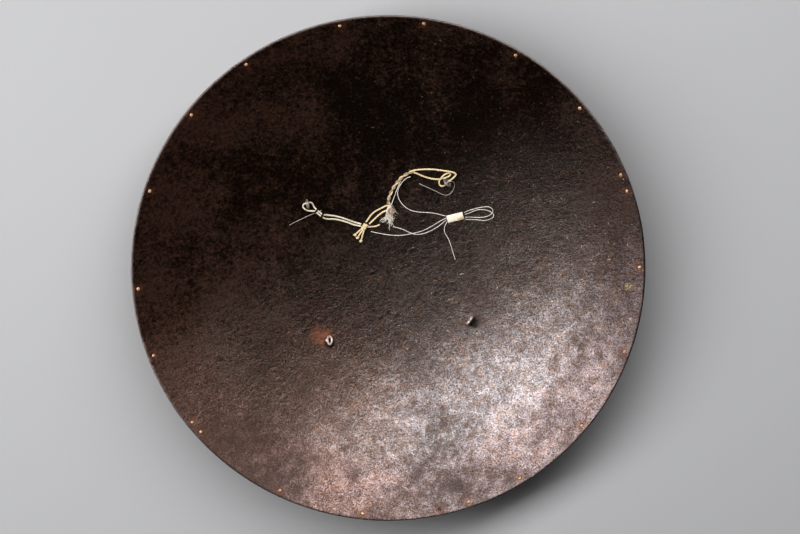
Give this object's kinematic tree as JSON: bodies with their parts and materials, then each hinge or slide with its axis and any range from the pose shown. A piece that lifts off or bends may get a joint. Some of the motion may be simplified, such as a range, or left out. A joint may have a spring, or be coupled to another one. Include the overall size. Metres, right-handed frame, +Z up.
{
  "type": "round iron buckler shield",
  "caption": "Round shallow-domed iron buckler shield lying hollow side up, with wire grip eyes, plain bosses on the face, rim rivets and an old string hanger.",
  "frame": {"origin": "centre of the bottom of the shield's box, on the surface it lies on", "axes": "+Z up, out of the hollow side; X and Y along the sides of the near-square that the four grip eyes make, +Y towards the two eyes that hold the string"},
  "size_m": [0.4518, 0.4518, 0.0671],
  "materials": {
    "dish_iron": "hammered, dark brown patina with rust and worn spots",
    "eye_iron": "rusty wrought iron wire, worn bright on top",
    "boss_iron": "plain forged, dark brown patina",
    "rivet_metal": "dull coppery, darkened",
    "cotton_string": "twisted cotton, yellowed",
    "fine_line": "fine grey thread, slightly shiny",
    "grey_wire": "thin dull wire",
    "dark_thread": "black waxed thread",
    "paper_tape": "creased masking tape, yellowed"
  },
  "bodies": {
    "root": {"plate": "dish_iron", "eye_upper_left": "eye_iron", "eye_upper_right": "eye_iron", "eye_lower_left": "eye_iron", "eye_lower_right": "eye_iron", "boss_upper_left": "boss_iron", "boss_upper_right": "boss_iron", "boss_lower_left": "boss_iron", "boss_lower_right": "boss_iron", "rivet_01": "rivet_metal", "rivet_02": "rivet_metal", "rivet_03": "rivet_metal", "rivet_04": "rivet_metal", "rivet_05": "rivet_metal", "rivet_06": "rivet_metal", "rivet_07": "rivet_metal", "rivet_08": "rivet_metal", "rivet_09": "rivet_metal", "rivet_10": "rivet_metal", "rivet_11": "rivet_metal", "rivet_12": "rivet_metal", "rivet_13": "rivet_metal", "rivet_14": "rivet_metal", "rivet_16": "rivet_metal", "rivet_17": "rivet_metal", "rivet_18": "rivet_metal", "rivet_19": "rivet_metal", "rivet_20": "rivet_metal", "rivet_21": "rivet_metal", "left_string": "cotton_string", "middle_bight": "cotton_string", "right_cord": "cotton_string", "right_loop": "cotton_string", "upper_wire": "grey_wire", "left_wire": "grey_wire", "arched_line": "fine_line", "long_line": "fine_line", "short_line": "fine_line", "long_turn": "fine_line", "short_turn": "fine_line", "white_thread": "cotton_string", "knot": "cotton_string", "tuft": "cotton_string", "tie_outer": "dark_thread", "tie_inner": "dark_thread", "tape_sleeve": "paper_tape"}
  },
  "joints": []
}
